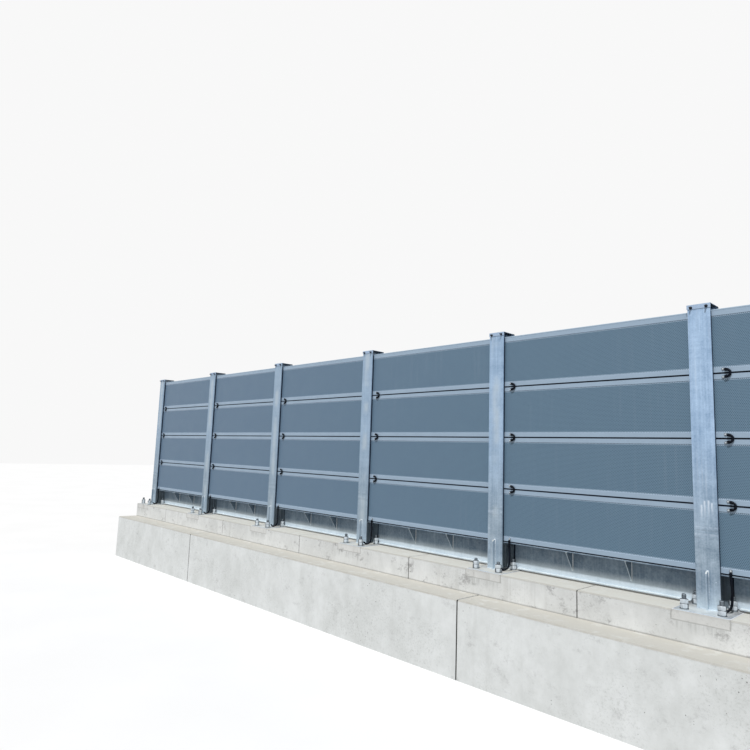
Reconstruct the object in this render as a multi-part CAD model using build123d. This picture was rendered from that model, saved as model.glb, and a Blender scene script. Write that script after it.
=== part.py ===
from build123d import *
import math
import os

# Noise barrier section: six bays of perforated aluminium cassettes between galvanised
# H-posts, bolted to a stepped concrete parapet.
# Millimetres. X runs along the barrier, the track side faces -Y, Z is up.
# The origin is the middle of the parapet's underside.

# Row
bay_count = 6
bay_length = 2000
end_overhang = 250

# Parapet wall, the lower block
wall_height = 730
wall_depth = 800
wall_chamfer = 12
wall_unit_length = 5330
wall_first_joint_from_end_post = 4050
wall_joint_width = 16
wall_shortest_unit = 500

# Kerb, the upper block
kerb_height = 235
ledge_depth = 340
kerb_chamfer = 10
kerb_joint_width = 10
kerb_front_to_post = 200

# Mortar pad in a pocket of the kerb under each post
pad_width = 420
pad_depth = 430
pad_thickness = 75
pad_above_kerb = 1

# Posts, rolled H-sections. Each root between web and flange is one flat, with the area of a
# 12 mm radius.
post_width = 175
post_depth = 195
flange_thickness = 11
web_thickness = 7.5
root_flat = 8

# Base plate and its anchor holes
plate_width = 400
plate_depth = 410
plate_thickness = 25
plate_above_kerb = 5
plate_front_to_post = 190
plate_corner_clip = 15
anchor_pitch_x = 270
anchor_pitch_y = 262
anchor_front_to_post = 132
anchor_hole = 40
hole_sides = 8
hole_cutter_reach = 20

# Stiffening rib on the front flange
rib_depth = 40
rib_height = 290
rib_thickness = 12
rib_chamfer = 16

# Cap on each post, folded from plate
cap_above_trim = 51
cap_thickness = 3
cap_side_overhang = 5
cap_lip = 38
cap_play = 0.5
cap_hole = 11
cap_hole_pitch = 120
cap_hole_above_lip_edge = 13

# Cassette panels
rows = 4
panel_pitch = 525
panel_depth = 110
panel_setback = 30
panel_end_gap = 11
panel_joint_gap = 9
panel_foot_above_plate = 286
panel_rim = 45
panel_rim_height = 3
panel_rim_slope = 3
panel_fold = 2.5
tongue_width = 44
tongue_height = 18
tongue_taper = 5
tongue_play = 1.5
cassette_sheet = 2
core_play = 0.3
end_cap_thickness = 3

# Trim along the top of the highest panels
trim_height = 12
trim_fold = 3

# Rubber strip under the lowest panel and rubber strips in the post grooves
foot_seal_thickness = 10
foot_seal_width = 90
groove_seal_width = 26
groove_seal_play = 0.3

# Wedge strips that press the panels forward
wedge_width = 40
wedge_lead_in = 12

# Beam that carries the panels
beam_sheet = 9
beam_top_width = 139
beam_web_bottom_above_kerb = 18
beam_lip = 42
beam_lip_end_from_post = 178
beam_web_end_from_post = 138
beam_end_gap = 6
beam_setback_from_panel = 5
gusset_pitch = 560
gusset_shift = 45
gusset_height = 186
gusset_width = 128
gusset_thickness = 8

# Closing plate on the rear flange beside each seat
closing_plate_width = 50
closing_plate_thickness = 10

# Rubber strip that closes the gap between a closing plate and the end of a beam's web
gap_seal_width = 50
gap_seal_above_plate = 8

# Seat on the post web under each end of a beam
seat_length = 60
seat_thickness = 10
seat_side_gap = 12

# Bonding jumpers across the panel joints
jumper_from_post = 158
jumper_pitch = 66
jumper_slant = 12
jumper_bend_radius = 26.5
jumper_bend_steps = 6
cable_diameter = 19
lug_palm_width = 22
lug_palm_length = 15
lug_thickness = 3
lug_barrel_diameter = 21
lug_barrel_length = 16
lug_corner_clip = 6
cable_sides = 6

# Earth cable from the lowest panel to the base plate
earth_start_from_post = 158
earth_start_above_panel_foot = 27
earth_end_from_post = 100
earth_end_before_panel = 74
earth_bend_radius = 50
earth_bend_steps = 4

# Levels
kerb_top = wall_height + kerb_height
plate_top = kerb_top + plate_above_kerb
plate_bottom = plate_top - plate_thickness
panel_foot = plate_top + panel_foot_above_plate
panel_top = panel_foot + rows * panel_pitch - panel_joint_gap
post_top = panel_top + trim_height + cap_above_trim
post_height = post_top - plate_top
beam_top = panel_foot - foot_seal_thickness
beam_foot = kerb_top + beam_web_bottom_above_kerb
seat_top = beam_top - beam_sheet

# Depths
wall_front = -wall_depth / 2
wall_back = wall_depth / 2
kerb_front = wall_front + ledge_depth
post_front = kerb_front + kerb_front_to_post
post_back = post_front + post_depth
groove_front = post_front + flange_thickness
groove_back = post_back - flange_thickness
panel_front = post_front + panel_setback
panel_back = panel_front + panel_depth
pad_front = kerb_front
plate_front = post_front - plate_front_to_post
anchor_front = post_front - anchor_front_to_post
anchor_back = anchor_front + anchor_pitch_y

# Places along the row
row_length = bay_count * bay_length
row_start = -row_length / 2
wall_start = row_start - end_overhang
wall_end = -wall_start
post_places = [row_start + i * bay_length for i in range(bay_count + 1)]
bay_centres = [row_start + (i + 0.5) * bay_length for i in range(bay_count)]

parts = {}


def box(x0, x1, y0, y1, z0, z1):
    """A box between two corners."""
    return Pos((x0 + x1) / 2, (y0 + y1) / 2, (z0 + z1) / 2) * Box(x1 - x0, y1 - y0, z1 - z0)


def along_x(outline, x0, x1):
    """Extrude a closed outline of (y, z) points from x0 to x1."""
    face = Plane.YZ * make_face(Polyline(*outline, close=True))
    return Pos(x0, 0, 0) * extrude(face, amount=x1 - x0)


def joint_places(start, end, first, pitch, shortest):
    """Places of the joints of a row of blocks, none nearer to its two ends than the shortest block."""
    count = int((first - start) / pitch) + 1
    places = [first - i * pitch for i in range(count)]
    return sorted(place for place in places if start + shortest <= place <= end - shortest)


def block_ends(start, end, joints, width):
    """Both ends of each block between the joints."""
    starts = [start] + [place + width / 2 for place in joints]
    ends = [place - width / 2 for place in joints] + [end]
    return list(zip(starts, ends))


# Parapet wall: a ledge in front of the kerb, with chamfered arrises
def wall_block(x0, x1):
    outline = [
        (wall_front, 0),
        (wall_back, 0),
        (wall_back, wall_height),
        (wall_front + wall_chamfer, wall_height),
        (wall_front, wall_height - wall_chamfer),
    ]
    return along_x(outline, x0, x1)


wall_first_joint = -row_start - wall_first_joint_from_end_post
wall_joints = joint_places(wall_start, wall_end, wall_first_joint, wall_unit_length, wall_shortest_unit)
for i, (x0, x1) in enumerate(block_ends(wall_start, wall_end, wall_joints, wall_joint_width)):
    parts[f"parapet_wall_{i + 1}"] = wall_block(x0, x1)


# Kerb: a block for each post, joined halfway between posts, with a pocket for the mortar
def kerb_block(x0, x1, post_x):
    outline = [
        (kerb_front, wall_height),
        (wall_back, wall_height),
        (wall_back, kerb_top - kerb_chamfer),
        (wall_back - kerb_chamfer, kerb_top),
        (kerb_front + kerb_chamfer, kerb_top),
        (kerb_front, kerb_top - kerb_chamfer),
    ]
    pocket = box(
        post_x - pad_width / 2, post_x + pad_width / 2,
        kerb_front - kerb_chamfer, pad_front + pad_depth,
        kerb_top - pad_thickness, kerb_top + kerb_chamfer,
    )
    return along_x(outline, x0, x1) - pocket


for i, (x0, x1) in enumerate(block_ends(wall_start, wall_end, bay_centres, kerb_joint_width)):
    parts[f"kerb_{i + 1}"] = kerb_block(x0, x1, post_places[i])


# Mortar pad, cast round the base plate
def mortar_pad(x):
    pad = box(
        x - pad_width / 2, x + pad_width / 2,
        pad_front, pad_front + pad_depth,
        kerb_top - pad_thickness, kerb_top + pad_above_kerb,
    )
    return pad - base_plate_blank(x)


def base_plate_blank(x):
    sketch = Rectangle(plate_width, plate_depth)
    sketch = chamfer(sketch.vertices(), plate_corner_clip)
    return Pos(x, plate_front + plate_depth / 2, plate_bottom) * extrude(sketch, amount=plate_thickness)


def bolt_hole(diameter, thickness):
    """A cutter along Z through a plate. Its washer or bolt head hides it, so a few sides do."""
    reach = thickness / 2 + hole_cutter_reach
    return extrude(RegularPolygon(diameter / 2, hole_sides), amount=reach, both=True)


parts["mortar_pads"] = Compound(children=[mortar_pad(x) for x in post_places])


# Post: rolled section, base plate with four anchor holes, front rib, beam seats and closing plates
def rolled_section():
    outline = Rectangle(post_width, post_depth)
    notch_width = (post_width - web_thickness) / 2
    notch_height = post_depth - 2 * flange_thickness
    for side in (-1, 1):
        outline -= Pos(side * (web_thickness + notch_width) / 2, 0) * Rectangle(notch_width, notch_height)
    roots = [v for v in outline.vertices() if abs(abs(v.X) - web_thickness / 2) < 0.01]
    return chamfer(roots, root_flat)


def front_rib(x):
    outline = [
        (post_front, plate_top),
        (post_front, plate_top + rib_height),
        (post_front - rib_depth + rib_chamfer, plate_top + rib_height),
        (post_front - rib_depth, plate_top + rib_height - rib_chamfer),
        (post_front - rib_depth, plate_top),
    ]
    return along_x(outline, x - rib_thickness / 2, x + rib_thickness / 2)


def beam_seat(x, side):
    near = x + side * web_thickness / 2
    far = near + side * seat_length
    return box(
        min(near, far), max(near, far),
        groove_front + seat_side_gap, groove_back,
        seat_top - seat_thickness, seat_top,
    )


closing_plate_start = web_thickness / 2 + seat_length
closing_plate_end = closing_plate_start + closing_plate_width


def closing_plate(x, side):
    near = x + side * closing_plate_start
    far = x + side * closing_plate_end
    return box(
        min(near, far), max(near, far),
        groove_back - closing_plate_thickness, groove_back,
        plate_top, seat_top,
    )


def post(x):
    section = extrude(rolled_section(), amount=post_height)
    body = Pos(x, (post_front + post_back) / 2, plate_top) * section
    body += base_plate_blank(x) + front_rib(x)
    for side in (-1, 1):
        body += beam_seat(x, side)
        body += closing_plate(x, side)
        for y in (anchor_front, anchor_back):
            hole = bolt_hole(anchor_hole, plate_thickness)
            body -= Pos(x + side * anchor_pitch_x / 2, y, plate_top - plate_thickness / 2) * hole
    return body


for i, x in enumerate(post_places):
    parts[f"post_{i + 1}"] = post(x)


# Cap: a plate over the section with a lip folded down over each flange
def post_cap(x):
    front = post_front - cap_play - cap_thickness
    back = post_back + cap_play + cap_thickness
    top = post_top + cap_thickness
    outline = [
        (front, top - cap_lip),
        (front, top),
        (back, top),
        (back, top - cap_lip),
        (back - cap_thickness, top - cap_lip),
        (back - cap_thickness, post_top),
        (front + cap_thickness, post_top),
        (front + cap_thickness, top - cap_lip),
    ]
    half = post_width / 2 + cap_side_overhang
    cap = along_x(outline, x - half, x + half)
    hole_z = top - cap_lip + cap_hole_above_lip_edge
    for side in (-1, 1):
        hole = Rot(90, 0, 0) * bolt_hole(cap_hole, cap_thickness)
        cap -= Pos(x + side * cap_hole_pitch / 2, front + cap_thickness / 2, hole_z) * hole
    return cap


parts["post_caps"] = Compound(children=[post_cap(x) for x in post_places])


# Panel: a folded cassette whose top tongue carries the panel above
def panel_section(foot, has_tongue):
    height = panel_pitch - panel_joint_gap
    top = foot + height
    middle = (panel_front + panel_back) / 2
    field = panel_front + panel_rim_height
    tongue_half = tongue_width / 2
    groove_half = tongue_half + tongue_play
    groove_top = foot + tongue_height - panel_joint_gap
    front = [
        (panel_front + panel_fold, foot),
        (panel_front, foot + panel_fold),
        (panel_front, foot + panel_rim - panel_rim_slope),
        (field, foot + panel_rim),
        (field, top - panel_rim),
        (panel_front, top - panel_rim + panel_rim_slope),
        (panel_front, top - panel_fold),
        (panel_front + panel_fold, top),
    ]
    tongue = [
        (middle - tongue_half, top),
        (middle - tongue_half + tongue_taper, top + tongue_height),
        (middle + tongue_half - tongue_taper, top + tongue_height),
        (middle + tongue_half, top),
    ]
    back = [
        (panel_back, top),
        (panel_back, foot),
        (middle + groove_half, foot),
        (middle + groove_half - tongue_taper, groove_top),
        (middle - groove_half + tongue_taper, groove_top),
        (middle - groove_half, foot),
    ]
    outline = front + (tongue if has_tongue else []) + back
    return make_face(Polyline(*outline, close=True))


def panel_slice(face, x0, x1):
    return Pos(x0, 0, 0) * extrude(Plane.YZ * face, amount=x1 - x0)


panel_half = (bay_length - web_thickness) / 2 - panel_end_gap


def cassette(centre_x, foot, has_tongue):
    face = panel_section(foot, has_tongue)
    hollow = offset(face, -cassette_sheet, kind=Kind.INTERSECTION)
    half = panel_half - end_cap_thickness
    return panel_slice(face - hollow, centre_x - half, centre_x + half)


def core(centre_x, foot):
    half = panel_half - end_cap_thickness - core_play
    inset = cassette_sheet + core_play
    return box(
        centre_x - half, centre_x + half,
        panel_front + panel_rim_height + inset, panel_back - inset,
        foot + tongue_height + inset, foot + panel_pitch - panel_joint_gap - inset,
    )


def end_cap(centre_x, foot, side):
    outer = centre_x + side * panel_half
    inner = outer - side * end_cap_thickness
    return box(
        min(inner, outer), max(inner, outer),
        panel_front + panel_rim_height, panel_back,
        foot, foot + panel_pitch - panel_joint_gap,
    )


cores = []
end_caps = []
for i, x in enumerate(bay_centres):
    for row in range(rows):
        foot = panel_foot + row * panel_pitch
        parts[f"panel_{i + 1}_{row + 1}"] = cassette(x, foot, row < rows - 1)
        cores.append(core(x, foot))
        end_caps.append(end_cap(x, foot, -1))
        end_caps.append(end_cap(x, foot, 1))
parts["absorber_cores"] = Compound(children=cores)
parts["panel_end_caps"] = Compound(children=end_caps)


# Trim that closes the top of the highest panels
def top_trim(centre_x):
    top = panel_top + trim_height
    outline = [
        (panel_front, panel_top),
        (panel_front, top - trim_fold),
        (panel_front + trim_fold, top),
        (panel_back - trim_fold, top),
        (panel_back, top - trim_fold),
        (panel_back, panel_top),
    ]
    return along_x(outline, centre_x - panel_half, centre_x + panel_half)


parts["top_trims"] = Compound(children=[top_trim(x) for x in bay_centres])


# Beam: a channel, its top leg in the post grooves, its web between the posts and its lip
# between the anchors
def beam(centre_x):
    front = panel_front + beam_setback_from_panel
    back = front + beam_top_width
    half_top = (bay_length - web_thickness) / 2 - beam_end_gap
    half_web = bay_length / 2 - beam_web_end_from_post
    half_lip = bay_length / 2 - beam_lip_end_from_post
    body = box(centre_x - half_top, centre_x + half_top, front, back, beam_top - beam_sheet, beam_top)
    web_face = back - beam_sheet
    body += box(centre_x - half_web, centre_x + half_web, web_face, back, beam_foot, beam_top - beam_sheet)
    body += box(
        centre_x - half_lip, centre_x + half_lip,
        back - beam_lip, web_face, beam_foot, beam_foot + beam_sheet,
    )
    gusset = [
        (web_face, beam_top - beam_sheet),
        (web_face - gusset_width, beam_top - beam_sheet),
        (web_face, beam_top - beam_sheet - gusset_height),
    ]
    for side in (-1, 1):
        x = centre_x + gusset_shift + side * gusset_pitch / 2
        body += along_x(gusset, x - gusset_thickness / 2, x + gusset_thickness / 2)
    return body


for i, x in enumerate(bay_centres):
    parts[f"beam_{i + 1}"] = beam(x)


# Rubber strips under the lowest panels
def foot_seal(centre_x):
    middle = (panel_front + panel_back) / 2
    return box(
        centre_x - panel_half, centre_x + panel_half,
        middle - foot_seal_width / 2, middle + foot_seal_width / 2,
        beam_top, panel_foot,
    )


parts["foot_seals"] = Compound(children=[foot_seal(x) for x in bay_centres])


# Rubber strips from the closing plates to behind the ends of the beam webs
def gap_seal(x, side):
    near = x + side * closing_plate_end
    far = near + side * gap_seal_width
    return box(
        min(near, far), max(near, far),
        panel_front + beam_setback_from_panel + beam_top_width, groove_back,
        plate_top + gap_seal_above_plate, seat_top,
    )


# Rubber strips between the front flanges and the panels
def groove_seal(x, side):
    far = x + side * post_width / 2
    near = far - side * groove_seal_width
    return box(
        min(near, far), max(near, far),
        groove_front, panel_front - groove_seal_play,
        panel_foot, panel_top,
    )


def grooves_in_use():
    """Each post side that has a bay beside it."""
    pairs = []
    for i, x in enumerate(post_places):
        if i > 0:
            pairs.append((x, -1))
        if i < bay_count:
            pairs.append((x, 1))
    return pairs


parts["groove_seals"] = Compound(children=[groove_seal(x, side) for x, side in grooves_in_use()])
parts["gap_seals"] = Compound(children=[gap_seal(x, side) for x, side in grooves_in_use()])


# Wedge strips between the panels and the rear flanges, driven in from above
def wedge_strip(x, side):
    outline = [
        (panel_back, panel_foot + wedge_lead_in),
        (panel_back, panel_top),
        (groove_back, panel_top),
        (groove_back, panel_foot),
        (panel_back + wedge_lead_in, panel_foot),
    ]
    far = x + side * post_width / 2
    near = far - side * wedge_width
    return along_x(outline, min(near, far), max(near, far))


parts["wedge_strips"] = Compound(children=[wedge_strip(x, side) for x, side in grooves_in_use()])


# Cable lug: a flat palm and a crimped six-sided barrel, pointing along +X from the bolt
def lug():
    behind_bolt = lug_palm_width / 2
    palm = Rectangle(lug_palm_length + behind_bolt, lug_palm_width)
    palm = chamfer(palm.vertices().group_by(Axis.X)[0], lug_corner_clip)
    palm = Pos((lug_palm_length - behind_bolt) / 2, 0) * palm
    body = Rot(90, 0, 0) * extrude(palm, amount=lug_thickness / 2, both=True)
    crimp = RegularPolygon(lug_barrel_diameter / 2, cable_sides, major_radius=False)
    barrel = Rot(0, 90, 0) * extrude(crimp, amount=lug_barrel_length)
    lift = (lug_barrel_diameter - lug_thickness) / 2
    return body + Pos(lug_palm_length, -lift, 0) * barrel


lug_reach = lug_palm_length + lug_barrel_length
lug_plane = panel_front - lug_thickness / 2
cable_plane = panel_front - lug_barrel_diameter / 2


def cable(points):
    """A cable along straight runs."""
    path = Polyline(*points)
    section = Plane(origin=path @ 0, z_dir=path % 0) * RegularPolygon(cable_diameter / 2, cable_sides)
    return sweep(section, path=path, transition=Transition.RIGHT)


def bend(centre, radius, start_angle, end_angle, steps):
    """Corners of the straight runs that touch an arc from outside, as two coordinates each."""
    step = (end_angle - start_angle) / steps
    reach = radius / math.cos(step / 2)
    angles = [start_angle + (i + 0.5) * step for i in range(steps)]
    return [(centre[0] + reach * math.cos(a), centre[1] + reach * math.sin(a)) for a in angles]


# Bonding jumper: a short cable bent round between two lugs, one on each panel
def jumper(x, z):
    slant = math.radians(jumper_slant)
    half = jumper_pitch / 2
    start_x = x + lug_reach * math.cos(slant)
    start_z = half - lug_reach * math.sin(slant)
    centre_x = x + half / math.tan(slant) - jumper_bend_radius / math.sin(slant)
    turn = math.pi / 2 - slant
    corners = bend((centre_x, z), jumper_bend_radius, turn, -turn, jumper_bend_steps)
    outline = [(start_x, z + start_z)] + corners + [(start_x, z - start_z)]
    run = cable([(px, cable_plane, pz) for px, pz in outline])
    ends = [
        Pos(x, lug_plane, z + half) * Rot(0, jumper_slant, 0) * lug(),
        Pos(x, lug_plane, z - half) * Rot(0, -jumper_slant, 0) * lug(),
    ]
    return run, ends


# Earth cable: down from the lowest panel, then forward round to a lug on the base plate
def earth_cable(x):
    start_x = x + earth_start_from_post
    start_z = panel_foot + earth_start_above_panel_foot
    end_x = x + earth_end_from_post
    end_y = panel_front - earth_end_before_panel
    end_z = plate_top + lug_barrel_diameter / 2
    across = math.hypot(end_x - start_x, end_y - cable_plane)
    heading = math.atan2(end_y - cable_plane, end_x - start_x)
    corners = bend((earth_bend_radius, end_z + earth_bend_radius), earth_bend_radius,
                   math.pi, 3 * math.pi / 2, earth_bend_steps)
    outline = [(0, start_z - lug_reach)] + corners + [(across - lug_reach, end_z)]
    run = cable([
        (start_x + out * math.cos(heading), cable_plane + out * math.sin(heading), z) for out, z in outline
    ])
    down = Pos(start_x, lug_plane, start_z) * Rot(0, 90, 0) * lug()
    flat = Rot(0, 0, math.degrees(heading) + 180) * Rot(-90, 0, 0) * lug()
    flat = Pos(end_x, end_y, plate_top + lug_thickness / 2) * flat
    return run, [down, flat]


cables = []
lugs = []
for x in post_places[:-1]:
    for row in range(1, rows):
        loop, ends = jumper(x + jumper_from_post, panel_foot + row * panel_pitch - panel_joint_gap / 2)
        cables.append(loop)
        lugs.extend(ends)
parts["jumper_cables"] = Compound(children=cables)
earth_cables = []
for x in post_places[:-1]:
    run, ends = earth_cable(x)
    earth_cables.append(run)
    lugs.extend(ends)
parts["earth_cables"] = Compound(children=earth_cables)
parts["cable_lugs"] = Compound(children=lugs)


os.makedirs("parts", exist_ok=True)
for name, shape in parts.items():
    export_step(shape, f"parts/{name}.step")
    print(name, round(shape.volume))
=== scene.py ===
# %% [markdown]
# # A noise barrier on a concrete parapet
#
# The barrier is a row of galvanised H-posts with light, hollow panels slid down between them.
# Its main shapes come from the CAD frame, which is loaded first and never moved.
# This lesson gives each of those shapes a finish, and adds the small parts that CAD left out:
# nuts, washers, threaded rods, weld beads, round cables and the filler in the concrete joints.

# %% Load the frame
import math
import random
from functools import partial, partialmethod
from itertools import product

import bmesh
import bpy
from mathutils import Matrix, Vector


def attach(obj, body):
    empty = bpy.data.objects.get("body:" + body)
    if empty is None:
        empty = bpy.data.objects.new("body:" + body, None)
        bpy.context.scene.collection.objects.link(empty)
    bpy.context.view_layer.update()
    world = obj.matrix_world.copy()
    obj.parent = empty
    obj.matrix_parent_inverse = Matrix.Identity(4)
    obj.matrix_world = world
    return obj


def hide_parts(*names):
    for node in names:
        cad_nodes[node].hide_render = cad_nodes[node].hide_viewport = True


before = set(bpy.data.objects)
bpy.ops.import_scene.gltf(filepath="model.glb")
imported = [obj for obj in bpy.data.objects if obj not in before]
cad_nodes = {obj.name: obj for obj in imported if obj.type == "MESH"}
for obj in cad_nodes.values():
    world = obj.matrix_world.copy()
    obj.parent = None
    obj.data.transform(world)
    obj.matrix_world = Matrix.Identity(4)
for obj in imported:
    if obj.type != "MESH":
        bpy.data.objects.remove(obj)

scene = bpy.context.scene
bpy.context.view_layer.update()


def new_object(name, data):
    """Put data into the scene."""
    made = bpy.data.objects.new(name, data)
    scene.collection.objects.link(made)
    return made


# %% [markdown]
# ## Measurements
#
# Every added part sits on a CAD surface, so the levels of those surfaces are written once here.
# They could be read from each node's box, but a name such as plate_top says more than a corner
# does. All lengths are metres. X runs along the row, the track side faces -Y, and Z is up.

# %% Levels and places
post_places = [-6.0 + 2.0 * i for i in range(7)]
bay_centres = [-5.0 + 2.0 * i for i in range(6)]
ledge_top, kerb_top, plate_top = 0.730, 0.965, 0.970
panel_foot, panel_pitch, panel_top, cap_top = 1.256, 0.525, 3.347, 3.413
wall_front, kerb_front, panel_front = -0.400, -0.060, 0.170
post_front, post_back, post_half, flange = 0.140, 0.335, 0.0875, 0.011
print("posts at", post_places, "panel rows from", panel_foot, "to", panel_top)

# %% [markdown]
# ## The camera
#
# The photograph was taken at eye height, close to the right end of the row, looking left and a
# little up. A camera could be nudged by hand until it looks right. Here it was worked out from
# the post edges and panel joints in the picture, so its eye point and turn are plain numbers.

# %% Camera
eye = Vector((5.711, -5.197, 2.0845))
turn_left, tilt_up, roll = (math.radians(a) for a in (46.19, 7.39, 2.00))
focal_pixels, picture_pixels, sensor_width = 608.2, 750, 36
forward = Vector((
    -math.sin(turn_left) * math.cos(tilt_up), math.cos(turn_left) * math.cos(tilt_up), math.sin(tilt_up),
))
level = Vector((math.cos(turn_left), math.sin(turn_left), 0))
upright = level.cross(forward)
right = math.cos(roll) * level + math.sin(roll) * upright
up = math.cos(roll) * upright - math.sin(roll) * level

camera = new_object("photo_camera", bpy.data.cameras.new("photo_camera"))
camera.data.sensor_width = sensor_width
camera.data.lens = focal_pixels * sensor_width / picture_pixels
camera.matrix_world = Matrix.Translation(eye) @ Matrix((right, up, -forward)).transposed().to_4x4()
scene.camera = camera
print("lens", round(camera.data.lens, 2), "mm at", tuple(round(v, 3) for v in eye))

# %% [markdown]
# ## A recipe for shader nodes
#
# Every finish below is made from nodes, because noise and lattices keep their true size on a
# twelve metre row, while a picture would stretch or repeat. Wiring nodes by hand fills a page
# for each finish, so one small class holds a node tree and has a word for each kind of step.

# %% The recipe class
def linear(red, green, blue):
    """A screen colour, 0 to 255, as the linear colour that a shader wants."""
    parts = [c / 255 for c in (red, green, blue)]
    return tuple(c / 12.92 if c <= 0.04045 else ((c + 0.055) / 1.055) ** 2.4 for c in parts) + (1.0,)


class Recipe:
    """One node tree: place is the shaded point, and ends are the sockets that the tree fills."""

    def __init__(self, name, tree, place, ends):
        self.name, self.tree, self.place, self.ends = name, tree, place, ends

    def feed(self, socket, value):
        """Link or set a socket. A colour of three numbers is a screen colour."""
        if isinstance(value, bpy.types.NodeSocket):
            self.tree.links.new(value, socket)
        elif socket.type == "RGBA" and len(value) == 3:
            socket.default_value = linear(*value)
        else:
            socket.default_value = value

    def put(self, kind, feeds=None, **settings):
        """Place a node, set it up, feed its sockets and hand back its outputs."""
        made = self.tree.nodes.new(kind)
        for name, value in settings.items():
            setattr(made, name, value)
        for name, value in (feeds or {}).items():
            self.feed(made.inputs[name], value)
        return made.outputs

    def fill(self, sockets, values):
        """Feed sockets by label. Rough Low is written as rough_low."""
        for name, value in values.items():
            self.feed(sockets[name.replace("_", " ").title()], value)

    def use(self, group, **values):
        """Place a group by name."""
        made = self.tree.nodes.new("ShaderNodeGroup")
        made.node_tree = bpy.data.node_groups[group]
        self.fill(made.inputs, {"place": self.place, **values})
        return made.outputs

    def results(self, **values):
        """Fill the ends."""
        self.fill(self.ends, values)
        print(self.name + ":", len(self.tree.nodes), "nodes")

    def step(self, operation, first, *others, clamp=False):
        """Arithmetic from left to right."""
        for value in others:
            first = self.put("ShaderNodeMath", {0: first, 1: value}, operation=operation, use_clamp=clamp)[0]
        return first

    plus = partialmethod(step, "ADD")
    minus = partialmethod(step, "SUBTRACT")
    times = partialmethod(step, "MULTIPLY")
    larger = partialmethod(step, "MAXIMUM")
    below = partialmethod(step, "LESS_THAN")
    above = partialmethod(step, "GREATER_THAN")
    wrap = partialmethod(step, "FLOORED_MODULO")

    def unsigned(self, value):
        return self.step("ABSOLUTE", value, 0.0)

    def span(self, value, low, high, to_low=0.0, to_high=1.0, kind="SMOOTHSTEP"):
        """Map low..high to to_low..to_high, smoothly if not told otherwise."""
        feeds = {"Value": value, "From Min": low, "From Max": high, "To Min": to_low, "To Max": to_high}
        return self.put("ShaderNodeMapRange", feeds, interpolation_type=kind)["Result"]

    def stretched(self, stretch):
        return self.put("ShaderNodeMapping", {"Vector": self.place, "Scale": stretch})["Vector"]

    def cloud(self, scale, stretch=(1, 1, 1), detail=3.0, roughness=0.5):
        """Soft noise, drawn out along an axis where stretch is small."""
        feeds = {"Vector": self.stretched(stretch), "Scale": scale, "Detail": detail, "Roughness": roughness}
        return self.put("ShaderNodeTexNoise", feeds)[0]

    def cells(self, scale):
        """Voronoi cells: the distance to the nearest centre, and a random value for each cell."""
        found = self.put("ShaderNodeTexVoronoi", {"Vector": self.place, "Scale": scale})
        return found["Distance"], self.split(found["Color"])["X"]

    def split(self, vector):
        return self.put("ShaderNodeSeparateXYZ", {0: vector})

    def where(self):
        return self.split(self.place)

    def normal(self):
        return self.split(self.put("ShaderNodeNewGeometry")["Normal"])

    def slant(self):
        """0 where a surface faces the eye, 1 where it is seen edge on. For materials only."""
        return self.put("ShaderNodeLayerWeight", {"Blend": 0.5})["Facing"]

    def tint(self, amount, first, second):
        """Mix two colours."""
        return self.put("ShaderNodeMix", {0: amount, 6: first, 7: second}, data_type="RGBA")[2]

    def cover(self, mask, colour, strength=None):
        """Lay a colour over the finish so far, where the mask is."""
        amount = mask if strength is None else self.times(mask, strength)
        self.colour = self.tint(amount, self.colour, colour)

    def finish(self, roughness, height, strength, distance):
        """Fill a material. distance is the depth of the height map's relief in metres."""
        feeds = {"Height": height, "Strength": strength, "Distance": distance}
        normal = self.put("ShaderNodeBump", feeds)["Normal"]
        self.results(base_color=self.colour, roughness=roughness, normal=normal)


print("paint strip as linear colour:", [round(v, 3) for v in linear(155, 176, 197)])

# %% [markdown]
# ## Studio light
#
# One soft sun stands where the real one stood, so the flanges and panels throw their shadows the
# same way. A pale world fills the rest. The world looks brighter to the camera and to gloss than
# it lights, which gives a white backdrop without bleaching the concrete.

# %% Sun and world
sun = new_object("soft_sun", bpy.data.lights.new("soft_sun", "SUN"))
sun.data.energy = 3.0
sun.data.angle = math.radians(2.5)
towards_sun = Vector((0.35, -1.0, 1.54))
sun.rotation_euler = towards_sun.to_track_quat("Z", "Y").to_euler()

fill_strength, backdrop_strength = 0.36, 0.94
scene.world = bpy.data.worlds.new("pale_studio")
scene.world.use_nodes = True
sky_tree = scene.world.node_tree
n = Recipe("pale_studio", sky_tree, None, sky_tree.nodes["Background"].inputs)
rays = n.put("ShaderNodeLightPath")
seen = n.larger(rays["Is Camera Ray"], rays["Is Glossy Ray"], rays["Is Transmission Ray"])
n.results(color=(1, 1, 1, 1), strength=n.span(seen, 0.0, 1.0, fill_strength, backdrop_strength, kind="LINEAR"))
scene.view_settings.view_transform = "Standard"
print("sun", sun.data.energy, "fill", fill_strength, "backdrop", backdrop_strength)

# %% [markdown]
# ## Groups that several finishes share
#
# Dust settles on every upward face, rain runs down every upright one, and zinc covers posts,
# beams, caps and bolts alike. Such an effect is built once as a node group with named inputs.
# A group puts out only colours and masks. The shader itself stays in each material.

# %% A group with named sockets
def new_group(name, inputs, outputs):
    """A group that is told the place and the inputs, and fills the outputs."""
    tree = bpy.data.node_groups.new(name, "ShaderNodeTree")
    tree.interface.new_socket("Place", in_out="INPUT", socket_type="NodeSocketVector")
    for label, value in inputs.items():
        kind = "NodeSocketColor" if isinstance(value, tuple) else "NodeSocketFloat"
        tree.interface.new_socket(label, in_out="INPUT", socket_type=kind).default_value = value
    for label in outputs:
        kind = "NodeSocketColor" if label == "Color" else "NodeSocketFloat"
        tree.interface.new_socket(label, in_out="OUTPUT", socket_type=kind)
    given = tree.nodes.new("NodeGroupInput").outputs
    return Recipe(name, tree, given["Place"], tree.nodes.new("NodeGroupOutput").inputs), given


def beside_post(n):
    """How far the place lies beside the nearest post. A modulo folds the row onto one post."""
    return n.unsigned(n.minus(n.wrap(n.plus(n.where()["X"], 1.0), 2.0), 1.0))


print("group helper ready")

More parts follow.
